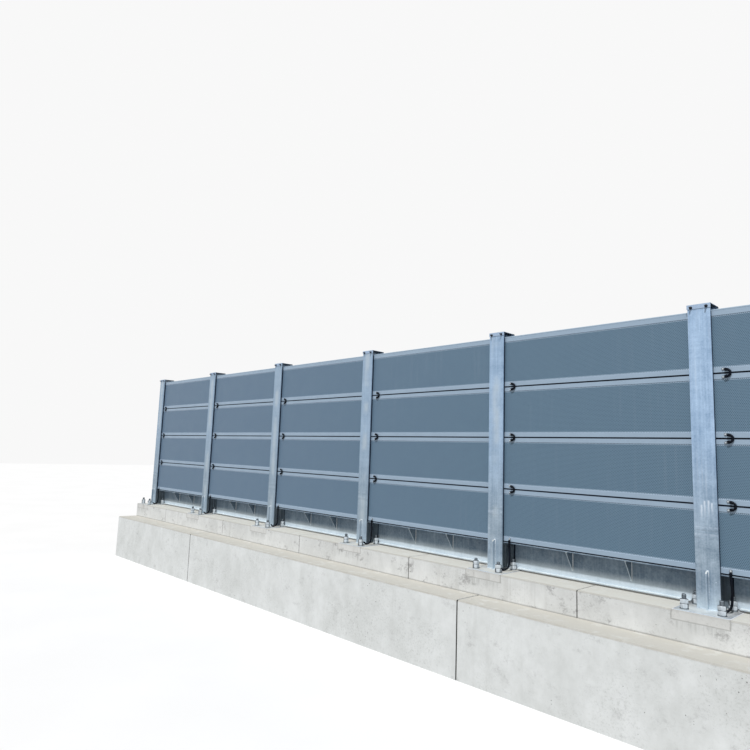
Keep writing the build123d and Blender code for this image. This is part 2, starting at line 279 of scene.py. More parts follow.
# %% [markdown]
# ### Settled dust
#
# Fine dust lies where a surface faces the sky. The upward part of the normal finds those places,
# and noise breaks the edge up. The mask then mixes in a dust colour and takes the gloss off.

# %% Dust group
n, given = new_group("settled_dust", {"Amount": 0.5}, ["Mask"])
patchy = n.span(n.cloud(9, detail=5), 0.3, 0.75, 0.45, 1.0)
lying = n.times(n.span(n.normal()["Z"], 0.25, 0.95), patchy)
n.results(mask=n.times(lying, given["Amount"], clamp=True))

# %% [markdown]
# ### Rain runs
#
# Water carries dirt down an upright face in thin, broken lines. Noise that is drawn out along Z
# makes the lines, and a second, broad noise decides where along the row they show at all.

# %% Rain group
n, given = new_group("rain_runs", {"Lines Per Metre": 30.0, "Amount": 0.5}, ["Mask"])
lines = n.cloud(given["Lines Per Metre"], (1, 1, 0.035), 4)
shown = n.span(n.cloud(1.3, (1, 1, 0.6), 3), 0.42, 0.66)
n.results(mask=n.times(n.times(n.span(lines, 0.5, 0.72), shown), given["Amount"], clamp=True))

# %% [markdown]
# ### Zinc
#
# Hot-dip galvanising leaves a matt, slightly crystalline coat: small grains of different
# brightness, cloudy patches from cooling, and faint vertical streaks where the bath ran off.
# Voronoi cells make the grains, and noises the clouds, the streaks and the bands across them.

# %% Zinc group
n, given = new_group(
    "zinc_coat",
    {"Grain": 95.0, "Streaks": 0.3, "Bands": 0.0, "Contrast": 0.5}, ["Tone", "Roughness", "Height"],
)
grain = n.cells(given["Grain"])[1]
patches = n.cloud(6.5, (1, 1, 0.6), 9, 0.7)
streak = n.times(n.minus(n.cloud(60, (1, 1, 0.02), 4), 0.5), given["Streaks"])
band = n.times(n.minus(n.cloud(17, (0.06, 0.06, 1), 4), 0.5), given["Bands"])
tone = n.minus(n.plus(n.times(grain, 0.14), n.times(patches, 0.98), streak, band), 0.56)
n.results(
    tone=n.plus(n.times(tone, given["Contrast"]), 0.5, clamp=True),
    roughness=n.span(patches, 0.3, 0.7, 0.42, 0.62),
    height=n.plus(n.times(grain, 0.2), patches),
)

# %% [markdown]
# ### Painted shade on hidden faces
#
# Zinc is painted dark where a face lies in shade: under a cap, on the inside of the rear flange
# below the panels, and on the sides of the gussets. This is painted shade. The normal and the place
# tell these faces apart. The cut, slanted edge of a gusset gets a painted highlight instead, for the
# light that the sunlit lip below throws up onto it.

# %% Painted shade group
n, given = new_group(
    "painted_shade_faces", {"Near": 9.0, "Far": 9.0, "Level": 9.0, "Sideways": 0.0}, ["Mask", "Slanted"],
)
normal, apart = n.normal(), n.where()
side_on = n.times(n.span(n.unsigned(normal["X"]), 0.8, 0.95), given["Sideways"])
deep = n.times(
    n.above(apart["Y"], given["Near"]), n.below(apart["Y"], given["Far"]), n.below(apart["Z"], given["Level"]),
)
n.results(
    mask=n.larger(n.span(normal["Z"], -0.65, -0.9), side_on, deep),
    slanted=n.minus(n.span(normal["Z"], -0.3, -0.45), n.span(normal["Z"], -0.65, -0.75)),
)

# %% [markdown]
# ### Concrete
#
# Cast concrete is a pale, cloudy grey with air pits where bubbles met the mould. Only some cells
# of a Voronoi pattern hold a pit: each cell's own random value decides, which gives pits of mixed
# size, and a broad noise draws them together in swarms. A fine noise adds the sand, and here and
# there the skin is speckled where the mould was rough.

# %% Concrete group
n, given = new_group(
    "cast_concrete",
    {"Light": (0.7, 0.7, 0.7, 1), "Dark": (0.5, 0.5, 0.5, 1), "Pits Per Metre": 22.0},
    ["Color", "Height", "Pits"],
)
broad, mottle = n.cloud(2.2, (1, 1, 0.7), 7, 0.66), n.cloud(10, (1, 1, 0.8), 9, 0.7)
distance, luck = n.cells(given["Pits Per Metre"])
swarm = n.span(n.cloud(2.3, detail=2), 0.50, 0.62, -0.34, 0.0)
reach = n.span(n.plus(luck, swarm), 0.62, 1.0, 0.0, 0.21)
pits = n.span(n.minus(reach, distance), 0.0, 0.03)
speckle = n.span(n.cloud(48, detail=8, roughness=0.75), 0.5, 0.66)
speckled = n.times(speckle, n.span(n.cloud(1.9, detail=3), 0.42, 0.62), 0.6)
shade = n.plus(n.span(broad, 0.32, 0.68, 0.0, 0.45), n.span(mottle, 0.3, 0.7, 0.0, 0.28), speckled)
# Each pit is painted dark: painted shade in its hollow, beside the dent in the height.
pitted = n.times(pits, 0.7)
sand = n.cloud(320, detail=2)
n.results(
    color=n.tint(pitted, n.tint(shade, given["Light"], given["Dark"]), (84, 85, 83)),
    height=n.minus(n.plus(n.times(sand, 0.12), n.times(mottle, 0.3)), pitted),
    pits=pits,
)

# %% [markdown]
# ### Worn arrises and the dark line along them
#
# The long edges of cast blocks are rubbed and chipped. Each such edge runs straight along X at a
# known height and depth, so the distance to that line gives a clean mask anywhere on the row,
# and noise chips it. The same distance gives a thin dark line along the edge, which is partly dirt
# and partly painted shade, most of all in the corner at the foot of the kerb. A bevel shader could
# find edges too, but it can't be baked as easily.

# %% Arris group
n, given = new_group("arris_wear_and_shade", {"Depth": 0.0, "Level": 1.0}, ["Mask", "Line"])
chip_reach = 0.035
apart = n.where()
along_y, along_z = n.minus(apart["Y"], given["Depth"]), n.minus(apart["Z"], given["Level"])
distance = n.step("SQRT", n.plus(n.times(along_y, along_y), n.times(along_z, along_z)), 0.0)
ragged = n.times(n.cloud(26, detail=5, roughness=0.65), chip_reach)
n.results(
    mask=n.span(distance, ragged, n.times(ragged, 0.4), kind="LINEAR"),
    line=n.times(n.span(distance, 0.011, 0.005), n.span(ragged, 0.008, 0.016, 0.5, 1.0)),
)

# %% [markdown]
# ### The outline of a mortar pad
#
# The mortar under a base plate is cast later than the kerb, and a hair crack runs round it. The
# dark line drawn there is partly that crack and partly painted shade along the pad's edge. The
# pads repeat at every post, so the distance to one pad's sides, foot and back gives the line. A
# modelled crack would need a gap between the solids. Lime water seeps out below the pad and
# leaves short grey drips.

# %% Pad outline group
n, given = new_group("pad_outline", {}, ["Mask", "Seep"])
pad_half, pad_foot, pad_back, seep_foot = 0.210, 0.890, 0.370, 0.785
apart = n.where()
jitter = n.times(n.minus(n.cloud(14, detail=5), 0.5), 0.012)
from_post = n.plus(beside_post(n), jitter)
within = n.below(from_post, pad_half + 0.001)
# The outline's dark line: a hair crack, and partly painted shade along the pad's edge.
crack_and_shade = 0.0
for position, line, limit in (
    (from_post, pad_half, 1.0), (apart["Z"], pad_foot, within), (apart["Y"], pad_back, within),
):
    off = n.unsigned(n.minus(n.plus(position, jitter), line))
    crack_and_shade = n.larger(n.times(n.span(off, 0.0085, 0.0015), limit), crack_and_shade)
wet = n.times(
    n.span(apart["Z"], seep_foot, pad_foot - 0.012), n.span(apart["Z"], pad_foot, pad_foot - 0.008),
    n.span(from_post, pad_half, pad_half - 0.04),
)
n.results(
    mask=n.times(crack_and_shade, n.above(apart["Z"], pad_foot - 0.004), n.below(apart["Y"], pad_back + 0.004)),
    seep=n.times(wet, n.span(n.cloud(55, (1, 1, 0.05), 4), 0.42, 0.62, 0.25, 1.0)),
)

# %% [markdown]
# ### Fine grain
#
# Paint has a slight orange peel, rubber a dull bloom and plastic a moulded grain. At the right
# scale one group serves them all: a broad noise moves the roughness, a fine one gives a height.

# %% Grain group
n, given = new_group(
    "fine_grain", {"Scale": 300.0, "Rough Low": 0.35, "Rough High": 0.5}, ["Roughness", "Height", "Cloud"],
)
handled = n.cloud(5, detail=5, roughness=0.6)
n.results(
    roughness=n.span(handled, 0.3, 0.7, given["Rough Low"], given["Rough High"], kind="LINEAR"),
    height=n.cloud(given["Scale"], detail=2),
    cloud=handled,
)

# %% [markdown]
# ## Materials
#
# Each material starts from the same three things: a node tree, its Principled shader, and the
# place of the shaded point in the row. Every CAD object sits at the origin, so its object
# coordinates are metres along the row, and one pattern runs on from bay to bay without a seam.

# %% Start a material
materials = {}


def new_finish(name, metallic=0.0, specular=0.5):
    """Start a material and hand back its recipe."""
    materials[name] = bpy.data.materials.new(name)
    materials[name].use_nodes = True
    tree = materials[name].node_tree
    shader = tree.nodes["Principled BSDF"].inputs
    shader["Metallic"].default_value = metallic
    shader["Specular IOR Level"].default_value = specular
    return Recipe(name, tree, tree.nodes.new("ShaderNodeTexCoord").outputs["Object"], shader)


print("material helper ready")

# %% [markdown]
# ### Kerb and parapet concrete
#
# Both blocks are the same mix. The kerb was cast later and is rained on from the steel above, so
# it is streaked under the plates, while the ledge in front is creamy with dust. One function
# makes both and the mortar, with the edge lines and the amount of staining as its arguments.

# %% Concrete materials
def concrete_finish(name, light, dark, top, edges, stain, pits_per_metre, lined, smudged, padded=False):
    """light and dark are the two tones, top the dust's, and edges the (depth, level) of arrises."""
    n = new_finish(name, specular=0.25)
    skin = n.use("cast_concrete", light=light, dark=dark, pits_per_metre=pits_per_metre)
    arrises = [n.use("arris_wear_and_shade", depth=depth, level=level) for depth, level in edges]
    n.colour = skin["Color"]
    n.cover(n.use("rain_runs", lines_per_metre=16.0, amount=stain)["Mask"], (150, 148, 142))
    for arris in arrises:
        n.cover(arris["Mask"], (176, 176, 172), 0.3)
    if padded:
        pad = n.use("pad_outline")
        n.cover(pad["Seep"], (156, 158, 156), 0.4)
        # The pad's outline: a hair crack, and partly painted shade along the pad's edge.
        n.cover(pad["Mask"], (132, 132, 128), 0.45)
    n.cover(n.span(n.cloud(5.5, (1, 1, 1.2), 9, 0.8), 0.54, 0.68, 0.0, smudged), (146, 146, 146))
    n.cover(n.use("settled_dust", amount=1.7)["Mask"], top, 0.92)
    # A thin dark line along each arris: partly dirt, partly painted shade in the corner at the kerb's foot.
    for arris in arrises:
        n.cover(arris["Line"], (118, 116, 110), lined)
    roughness = n.span(skin["Pits"], 0.0, 1.0, 0.82, 0.95)
    n.finish(roughness, skin["Height"], 0.55, 0.004)


concrete_finish(
    "parapet_concrete", (238, 241, 241), (206, 209, 207), (190, 187, 178),
    [(wall_front + 0.006, ledge_top - 0.006), (kerb_front, ledge_top)], 0.06, 38.0, 0.3, 0.3,
)
concrete_finish(
    "kerb_concrete", (228, 230, 230), (194, 196, 195), (207, 206, 198),
    [(kerb_front + 0.005, kerb_top - 0.005), (kerb_front, ledge_top)], 0.25, 40.0, 0.4, 0.8, padded=True,
)
concrete_finish(
    "mortar", (222, 223, 222), (196, 197, 195), (214, 214, 217),
    [(kerb_front, kerb_top)], 0.9, 60.0, 0.0, 0.6, padded=True,
)

# %% [markdown]
# ### Galvanised steel
#
# Posts, beams, caps and bolts share the zinc group and differ in tone, streaks and contrast.
# A coat with little metal in it suits old zinc better than a full metal: it is a dull oxide. Its
# blue is painted reflection of a blue sky. White runs are the chalky bloom that rain leaves.
# The tone also changes with height. A post is bluer above and greyer near its foot, and a
# beam's web is light below and painted dark above: painted shade under the panels. Marks that
# belong to one place, such as scuffs from a strap, zinc lumps and drips, get a group of their own.
# Bright bolts mirror their surroundings, so a facet that is seen at a slant looks dark. Those get
# a painted dark rim from the layer weight, a painted reflection which keeps small nuts readable
# from far away.

# %% Drips on one post
n, given = new_group("post_marks", {}, ["White", "Dark"])
apart = n.where()
wander = n.times(n.minus(n.cloud(30), 0.5), 0.008)
across = n.plus(apart["X"], wander)
drips = 0.0
for x, head, tail in (
    (3.972, 1.770, 1.620), (3.996, 1.803, 1.630), (4.025, 1.808, 1.640), (4.049, 1.790, 1.680),
):
    narrow = n.span(n.unsigned(n.minus(across, x)), 0.0105, 0.0025)
    fading, cut = n.span(apart["Z"], tail, head), n.span(apart["Z"], head + 0.006, head - 0.004)
    drips = n.plus(n.times(narrow, fading, cut), drips)
print("four drips:", len(n.tree.nodes), "nodes")

# %% Strap scuffs and zinc lumps
broken = n.span(n.cloud(24, (1, 1, 0.6), 4), 0.40, 0.58)
tilted = n.minus(apart["Z"], n.times(wander, 1.5))
scuffs = {"White": 0.0, "Dark": 0.0}
for tone, level, half in (
    ("White", 1.598, 0.009), ("White", 1.540, 0.012), ("Dark", 1.574, 0.010), ("Dark", 1.512, 0.011),
):
    off = n.unsigned(n.minus(tilted, level))
    scuffs[tone] = n.larger(n.times(n.span(off, half, half * 0.3), broken), scuffs[tone])
distance, luck = n.cells(16.0)
lumps = n.span(n.minus(n.span(luck, 0.78, 1.0, 0.0, 0.10), distance), 0.0, 0.02)
on_face = n.below(apart["Y"], post_front + 0.002)
white = n.larger(drips, n.times(scuffs["White"], 0.3), n.times(lumps, 0.6))
n.results(white=n.times(white, on_face, clamp=True), dark=n.times(scuffs["Dark"], on_face, clamp=True))

# %% Zinc materials
def zinc_finish(
    name, dark, light, contrast=1.5, streaks=0.1, bands=0.0, grain=95.0, bloom=0.1, metallic=0.2, specular=0.5,
    below=None, levels=(0, 1), painted_shade=None, shade=0.66, marked=False, painted_dark_rim=False,
    dusty=0.5, dust_tint=(206, 206, 204),
):
    """dark and light are the coat's two tones, and below the same two under the levels."""
    n = new_finish(name, metallic, specular)
    coat = n.use("zinc_coat", grain=grain, streaks=streaks, bands=bands, contrast=contrast)
    apart = n.where()
    n.colour = n.tint(coat["Tone"], dark, light)
    if below:
        n.colour = n.tint(n.span(apart["Z"], *levels), n.tint(coat["Tone"], *below), n.colour)
    n.cover(n.use("rain_runs", lines_per_metre=55.0, amount=bloom)["Mask"], (226, 232, 238))
    if marked:
        marks = n.use("post_marks")
        n.cover(marks["Dark"], (118, 134, 150), 0.4)
        n.cover(marks["White"], (220, 232, 246), 0.85)
        sprayed = n.times(n.span(apart["Z"], plate_top + 0.17, plate_top + 0.02), n.cloud(28, detail=4))
        n.cover(sprayed, (216, 230, 238), 0.9)
        n.cover(n.span(apart["X"], 4.4, -2.0, 0.0, 0.6), (150, 169, 184))
        aside = beside_post(n)
        pale = n.times(n.span(aside, 0.07, 0.01), n.span(n.cloud(2.6, detail=3), 0.44, 0.60, 0.0, 0.5))
        n.cover(pale, (200, 212, 220), n.span(apart["X"], 3.6, 2.4))
        # The painted shade on the post's hidden faces is weaker on the posts towards the left end of the row.
        shade = n.span(apart["X"], 4.2, 0.0, 0.66, 0.40)
    if painted_shade:
        # Painted shade on faces that lie in shade, and a painted highlight on the slanted gusset edges.
        shaded_parts = n.use("painted_shade_faces", **painted_shade)
        n.cover(shaded_parts["Slanted"], (208, 222, 230), 0.6)
        n.cover(shaded_parts["Mask"], (46, 57, 64), shade)
    dust = n.use("settled_dust", amount=dusty)["Mask"]
    n.cover(dust, dust_tint)
    if marked:
        n.cover(dust, (222, 228, 228), n.span(n.minus(aside, n.times(sprayed, 0.12)), 0.14, 0.04))
        n.cover(dust, (204, 203, 196), n.span(apart["X"], 3.6, 2.6))
    if painted_dark_rim:
        # Painted reflection: facets seen at a slant are painted dark.
        n.cover(n.span(n.slant(), 0.18, 0.62, 0.0, 0.85), (34, 40, 46))
    roughness = n.plus(coat["Roughness"], n.times(dust, 0.25), clamp=True)
    n.finish(roughness, coat["Height"], 0.25, 0.0012)


# The blue in all these zinc tones is painted reflection of a blue sky; the zinc itself is grey.
zinc_finish(
    "galvanised_post", (139, 169, 202), (186, 213, 242), contrast=1.9, streaks=0.6, bands=0.4, bloom=0.4,
    below=((120, 141, 160), (178, 196, 212)), levels=(plate_top + 0.3, plate_top + 1.5),
    painted_shade={"near": 0.160, "far": 0.330, "level": 1.250}, marked=True, dusty=0.97, dust_tint=(160, 160, 160),
)
# The beam's web is painted dark above the levels: painted shade where the panels' shadow falls.
zinc_finish(
    "galvanised_beam", (92, 113, 133), (150, 168, 184), contrast=2.3, streaks=0.3, grain=70.0,
    metallic=0.05, specular=0.3, below=((188, 202, 212), (208, 220, 229)), levels=(1.032, 1.108),
    painted_shade={"sideways": 0.3}, dusty=0.85, dust_tint=(240, 246, 244),
)
zinc_finish(
    "galvanised_cap", (148, 173, 202), (188, 209, 234), contrast=1.2,
    painted_shade={"near": 0.300, "far": 0.337}, shade=0.97,
)
zinc_finish(
    "bright_weld", (196, 208, 218), (240, 246, 250), contrast=2.0, metallic=0.1, bloom=0.0,
    below=((132, 150, 166), (222, 234, 242)), levels=(plate_top + 0.24, plate_top + 0.27),
)
zinc_finish(
    "seam_zinc", (232, 240, 244), (250, 252, 253), contrast=1.2,
    metallic=0.0, specular=0.3, bloom=0.0, dusty=0.0,
)
small = {"contrast": 1.6, "grain": 260.0, "bloom": 0.0, "dusty": 0.1}
bright = {"metallic": 0.0, "specular": 0.4, "painted_dark_rim": True, **small}
zinc_finish("zinc_bolt", (164, 176, 186), (232, 240, 246), **bright)
zinc_finish("worn_thread", (76, 88, 98), (160, 172, 182), **bright)
zinc_finish("dark_steel", (12, 18, 28), (44, 52, 64), **small)

# %% [markdown]
# ### Painted panel with its perforations
#
# The track side of each cassette is punched with small round holes in rows set at sixty degrees,
# so that sound reaches the wool behind. There are over a hundred thousand of them, too many to
# model, so a lattice in the material draws them: the distance to the nearest of two offset grids
# is compared with the hole's radius. The holes show only on the sunken field between the rims.
# Along both rims a margin of the sheet stays as pale as the rim, so the outermost holes cut it
# into small teeth. Seen at a slant a hole shows its own pale wall, so the dark fades with angle.
# The folded edges where two cassettes meet are drawn dark as well: painted shade in the joint.

# %% Perforation group
hole_pitch, hole_radius, field_middle = 0.0135, 0.0036, 0.258
row_step = hole_pitch * math.sqrt(3)
n, given = new_group("punched_holes", {}, ["Hole", "Field", "Margin", "Joint"])
apart = n.where()
upward = n.minus(n.wrap(n.minus(apart["Z"], panel_foot), panel_pitch), field_middle)


def lattice(shift):
    """Distance to the nearest point of a grid that is shifted by a share of its cell."""
    total = 0.0
    for position, cell in ((apart["X"], hole_pitch), (upward, row_step)):
        off = n.minus(n.wrap(n.plus(position, cell * shift), cell), cell / 2)
        total = n.plus(n.times(off, off), total)
    return n.step("SQRT", total, 0.0)


nearest = n.step("MINIMUM", lattice(0.0), lattice(0.5))
punched = n.span(nearest, hole_radius * 1.06, hole_radius * 0.94, kind="LINEAR")
facing_track = n.below(n.normal()["Y"], -0.9)
sunken = n.times(n.above(apart["Y"], panel_front + 0.0022), n.below(apart["Y"], panel_front + 0.0040))
field = n.times(facing_track, sunken)
from_middle = n.unsigned(upward)
# The joint mask marks the folded edges in the gap between cassettes, for painted shade.
joint = n.times(n.span(from_middle, 0.2545, 0.2560), n.below(apart["Z"], panel_top - 0.01))
n.results(hole=n.times(punched, field), field=field, margin=n.span(from_middle, 0.2045, 0.2065), joint=joint)
panels, field_long, field_high = 24, 1.975, 0.42
print("holes on the row: about", round(panels * field_long * field_high / (hole_pitch * row_step / 2)))

# %% Panel and trim paint
def paint_finish(name, base, sheet=None):
    """base is the paint on the rims. A sheet, punched with holes, has its own tone."""
    n = new_finish(name, metallic=0.15)
    grain = n.use("fine_grain", scale=420.0, rough_low=0.38, rough_high=0.5)
    cloudy = n.span(grain["Cloud"], 0.3, 0.7, 0.0, 0.16)
    n.colour = n.tint(cloudy, base, (132, 150, 168))
    height = grain["Height"]
    if sheet:
        holes = n.use("punched_holes")
        open_field = n.times(holes["Field"], n.minus(1.0, holes["Margin"]))
        n.cover(open_field, n.tint(cloudy, sheet, (96, 122, 146)))
        height = n.minus(n.times(height, 0.1), holes["Hole"])
    n.cover(n.use("rain_runs", lines_per_metre=24.0, amount=0.1)["Mask"], (156, 172, 190))
    dust = n.use("settled_dust", amount=0.15)["Mask"]
    n.cover(dust, (190, 196, 200))
    rough = n.plus(grain["Roughness"], n.times(dust, 0.3), clamp=True)
    if sheet:
        n.cover(holes["Hole"], n.tint(n.span(n.slant(), 0.05, 0.55), (80, 102, 121), (112, 124, 152)))
        # Painted shade, blue-black, inside the joints between cassettes.
        n.cover(holes["Joint"], (14, 32, 58), 0.9)
        rough = n.larger(rough, holes["Hole"])
    n.finish(rough, height, 0.3, 0.0008)


paint_finish("panel_paint", (160, 181, 201), (103, 131, 152))
paint_finish("trim_paint", (164, 185, 204))

# %% [markdown]
# ### Wool, plastic, rubber and copper
#
# The wool fills the cassettes and only shows if one is opened, but it still gets its fibres: a
# noise drawn out along the row. Rubber and plastic differ in grain and gloss. The lugs are tinned
# copper with fine scratches across them. Their cool grey is painted reflection of a blue sky, and
# the blue in the black rubber and the cable sheath is painted blue sky light.

# %% Small materials
def grained_finish(name, base, worn, scale, rough, relief, metallic=0.0, specular=0.3, stretch=None, dusty=0.3):
    n = new_finish(name, metallic, specular)
    if stretch:
        n.place = n.stretched(stretch)
    grain = n.use("fine_grain", scale=scale, rough_low=rough[0], rough_high=rough[1])
    n.colour = n.tint(n.span(grain["Cloud"], 0.3, 0.75), base, worn)
    n.cover(n.span(grain["Height"], 0.35, 0.65, 0.0, 0.35), worn)
    if not stretch:
        n.cover(n.use("settled_dust", amount=dusty)["Mask"], (190, 188, 182))
    n.finish(grain["Roughness"], grain["Height"], 0.4, relief)


grained_finish("mineral_wool", (150, 138, 84), (186, 174, 122), 900.0, (0.9, 1.0), 0.003, stretch=(0.15, 1, 1))
grained_finish("end_cap_plastic", (44, 46, 50), (64, 66, 70), 500.0, (0.45, 0.6), 0.0003)
grained_finish("wedge_rubber", (30, 31, 33), (50, 51, 53), 260.0, (0.6, 0.8), 0.0005)
# The blue in the seal rubber and cable sheath is painted sky light, and in the tinned copper painted
# reflection.
grained_finish("seal_rubber", (12, 23, 42), (24, 38, 60), 320.0, (0.6, 0.8), 0.0004, specular=0.15, dusty=0.05)
grained_finish("cable_sheath", (4, 8, 16), (10, 17, 30), 380.0, (0.45, 0.65), 0.0002, specular=0.12, dusty=0.0)
grained_finish(
    "tinned_copper", (128, 136, 144), (92, 98, 106), 700.0, (0.25, 0.42), 0.0002, metallic=0.4, dusty=0.1,
)
grained_finish("joint_board", (26, 25, 24), (46, 44, 42), 240.0, (0.85, 0.98), 0.002, specular=0.1, dusty=0.0)

# %% [markdown]
# ## Dress the CAD nodes
#
# A CAD object keeps its mesh. Its material slots are filled by name, and a small bevel modifier
# breaks the sharp edges of rolled and folded metal, so that they catch a thin line of light as
# real ones do.

# %% Assign finishes and soften edges
finishes = {
    "parapet_wall": ("parapet_concrete", 0.004),
    "kerb": ("kerb_concrete", 0.003),
    "mortar_pads": ("mortar", 0.003),
    "post_caps": ("galvanised_cap", 0.0008),
    "post": ("galvanised_post", 0.0015),
    "panel_end_caps": ("end_cap_plastic", 0.0),
    "panel": ("panel_paint", 0.0006),
    "absorber_cores": ("mineral_wool", 0.0),
    "top_trims": ("trim_paint", 0.0008),
    "beam": ("galvanised_beam", 0.0015),
    "foot_seals": ("seal_rubber", 0.0015),
    "groove_seals": ("seal_rubber", 0.0),
    # gap_seals: a dark strip set where only a shaded gap lies between rear flange and web end, a dark sheet for
    # shade.
    "gap_seals": ("seal_rubber", 0.001),
    "wedge_strips": ("wedge_rubber", 0.002),
    "jumper_cables": ("cable_sheath", 0.0),
    "earth_cables": ("cable_sheath", 0.0),
    "cable_lugs": ("tinned_copper", 0.0005),
}
for name, cad_node in cad_nodes.items():
    material, edge = finishes[max((key for key in finishes if name.startswith(key)), key=len)]
    for material_slot in cad_node.material_slots:
        material_slot.material = materials[material]
    if edge:
        softened = cad_node.modifiers.new("soft_edge", "BEVEL")
        softened.width = edge
        softened.segments = 2
        softened.limit_method = "ANGLE"
        softened.angle_limit = math.radians(40)
print("dressed", len(cad_nodes), "CAD nodes,", sum(len(n.data.polygons) for n in cad_nodes.values()), "faces")

# %% [markdown]
# ## Turned and hexagonal parts
#
# Nuts, washers and threaded rods are all stacks of rings. One helper joins rings into a closed
# skin. A nut's ring is a hexagon that is cut by a cone at both ends, which is how the real
# chamfer is turned. A thread's rings climb by one pitch in each turn.

# %% Ring helpers
def skin_rings(mesh, rings, to_row):
    """Join rings of points into a closed skin and place it in the row."""
    loops = [[mesh.verts.new(to_row @ Vector(point)) for point in ring] for ring in rings]
    for low, high in zip(loops, loops[1:]):
        for i in range(len(low)):
            j = (i + 1) % len(low)
            mesh.faces.new((low[i], low[j], high[j], high[i]))
    mesh.faces.new(reversed(loops[0]))
    mesh.faces.new(loops[-1])


def polar(radius, angle, height):
    return (radius * math.cos(angle), radius * math.sin(angle), height)


def turn_in(sides):
    return [math.tau * i / sides for i in range(sides)]


def round_ring(radius, height, sides):
    return [polar(radius, a, height) for a in turn_in(sides)]


def cut_ring(flat, corner, height, sides=24):
    """A hexagon of half width flat, whose corners are turned off to a circle."""
    folded = [(a + math.pi / 6) % (math.pi / 3) - math.pi / 6 for a in turn_in(sides)]
    return [polar(min(corner, flat / math.cos(f)), a, height) for a, f in zip(turn_in(sides), folded)]


def nut_rings(flats, height):
    """The corners are cut by a cone at both ends."""
    deep, climb = 0.085 * flats, 0.75 / math.tan(math.radians(30))
    levels = [0, 0.35 * deep, 0.7 * deep, deep]
    levels += [height - level for level in reversed(levels)]
    return [cut_ring(flats / 2, 0.475 * flats + min(z, height - z) * climb, z) for z in levels]


def washer_rings(radius, thickness):
    rim = thickness * 0.2
    profile = ((radius - rim, 0), (radius, rim), (radius, thickness - rim), (radius - rim, thickness))
    return [round_ring(r, z, 32) for r, z in profile]


def rod_rings(radius, pitch, length, sides=20):
    """A helical thread, closed by a chamfered end."""
    root = radius - 0.6 * pitch
    rings = []
    for k in range(int(2 * length / pitch)):
        r = radius if k % 2 else root
        rings.append([polar(r, a, (k / 2 + a / math.tau) * pitch) for a in turn_in(sides)])
    rings.append(round_ring(root, length + 0.7 * pitch, sides))
    rings.append(round_ring(radius - 0.8 * pitch, length + pitch, sides))
    return rings


print("nut ring points:", len(nut_rings(0.055, 0.03)[0]), "rod rings:", len(rod_rings(0.018, 0.004, 0.04)))

# %% Turn a mesh into a piece
def finish_piece(name, mesh, material, smooth_angle):
    """Make an object of the mesh, with its material and its ride on the barrier."""
    data = bpy.data.meshes.new(name)
    bmesh.ops.recalc_face_normals(mesh, faces=mesh.faces)
    mesh.to_mesh(data)
    mesh.free()
    data.materials.append(materials[material])
    piece = new_object(name, data)
    data.shade_smooth()
    data.set_sharp_from_angle(angle=math.radians(smooth_angle))
    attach(piece, "root")
    print(name, len(data.polygons), "faces")


print("piece helper ready")

# %% [markdown]
# ## Anchors
#
# Four threaded rods rise through each base plate. Each holds a washer, a nut and a second nut
# locked on it, and stands a little above them, never quite the same height. The nuts are turned
# at random, because nobody lines them up on site. The random numbers are seeded, so every run
# gives the same row.

# %% Anchor rods, nuts and washers
anchor_x, anchor_y = 0.135, (post_front - 0.132, post_front + 0.130)
washer_radius, washer_thick, nut_high, nut_flats, nut_gap = 0.033, 0.006, 0.034, 0.057, 0.0016
rod_radius, thread, rod_sunk, shortest, longest = 0.0175, 0.0045, 0.004, 0.022, 0.036
chance = random.Random(11)
rods, nuts, washers = bmesh.new(), bmesh.new(), bmesh.new()
for x, side, y in product(post_places, (-1, 1), anchor_y):
    foot = Vector((x + side * anchor_x, y, plate_top))
    skin_rings(washers, washer_rings(washer_radius, washer_thick), Matrix.Translation(foot))
    level = washer_thick
    for _ in range(2):
        spin = Matrix.Rotation(chance.uniform(0, math.pi / 3), 4, "Z")
        to_row = Matrix.Translation(foot + Vector((0, 0, level))) @ spin
        skin_rings(nuts, nut_rings(nut_flats, nut_high), to_row)
        level += nut_high + nut_gap
    stand = Matrix.Translation(foot + Vector((0, 0, level - rod_sunk)))
    skin_rings(rods, rod_rings(rod_radius, thread, chance.uniform(shortest, longest)), stand)
finish_piece("anchor_rods", rods, "worn_thread", 35)
finish_piece("anchor_nuts", nuts, "zinc_bolt", 30)
finish_piece("anchor_washers", washers, "worn_thread", 30)

# %% [markdown]
# ## Cap bolts and lug bolts
#
# Each cap is held by two bolts through either lip, and each cable lug by one bolt into the panel
# rim or the base plate. They are the same rings as before, laid on their side by a rotation that
# points the bolt's axis where it should go.

# %% Bolts on caps
small_washer = 0.0018


def bolt_head(mesh, place, direction, flats, height, washer):
    """A washer and a nut whose own Z runs along direction."""
    to_row = Matrix.Translation(place) @ Vector(direction).to_track_quat("Z", "Y").to_matrix().to_4x4()
    skin_rings(mesh, washer_rings(washer, small_washer), to_row)
    lifted = to_row @ Matrix.Translation((0, 0, small_washer)) @ Matrix.Rotation(chance.uniform(0, 1), 4, "Z")
    skin_rings(mesh, nut_rings(flats, height), lifted)
    return lifted


cap_bolts = bmesh.new()
lip_bolt_level, lip_bolt_side, lip = cap_top - 0.025, 0.060, 0.0035
lips = ((post_front - lip, -1), (post_back + lip, 1))
cap_nut, cap_stub, stub_start = (0.019, 0.009, 0.013), (0.006, 0.0015, 0.019, 12), 0.008
for x, side, (y, out) in product(post_places, (-1, 1), lips):
    place = (x + side * lip_bolt_side, y, lip_bolt_level)
    nut = bolt_head(cap_bolts, place, (0, out, 0), *cap_nut)
    skin_rings(cap_bolts, rod_rings(*cap_stub), nut @ Matrix.Translation((0, 0, stub_start)))
finish_piece("cap_bolts", cap_bolts, "dark_steel", 35)

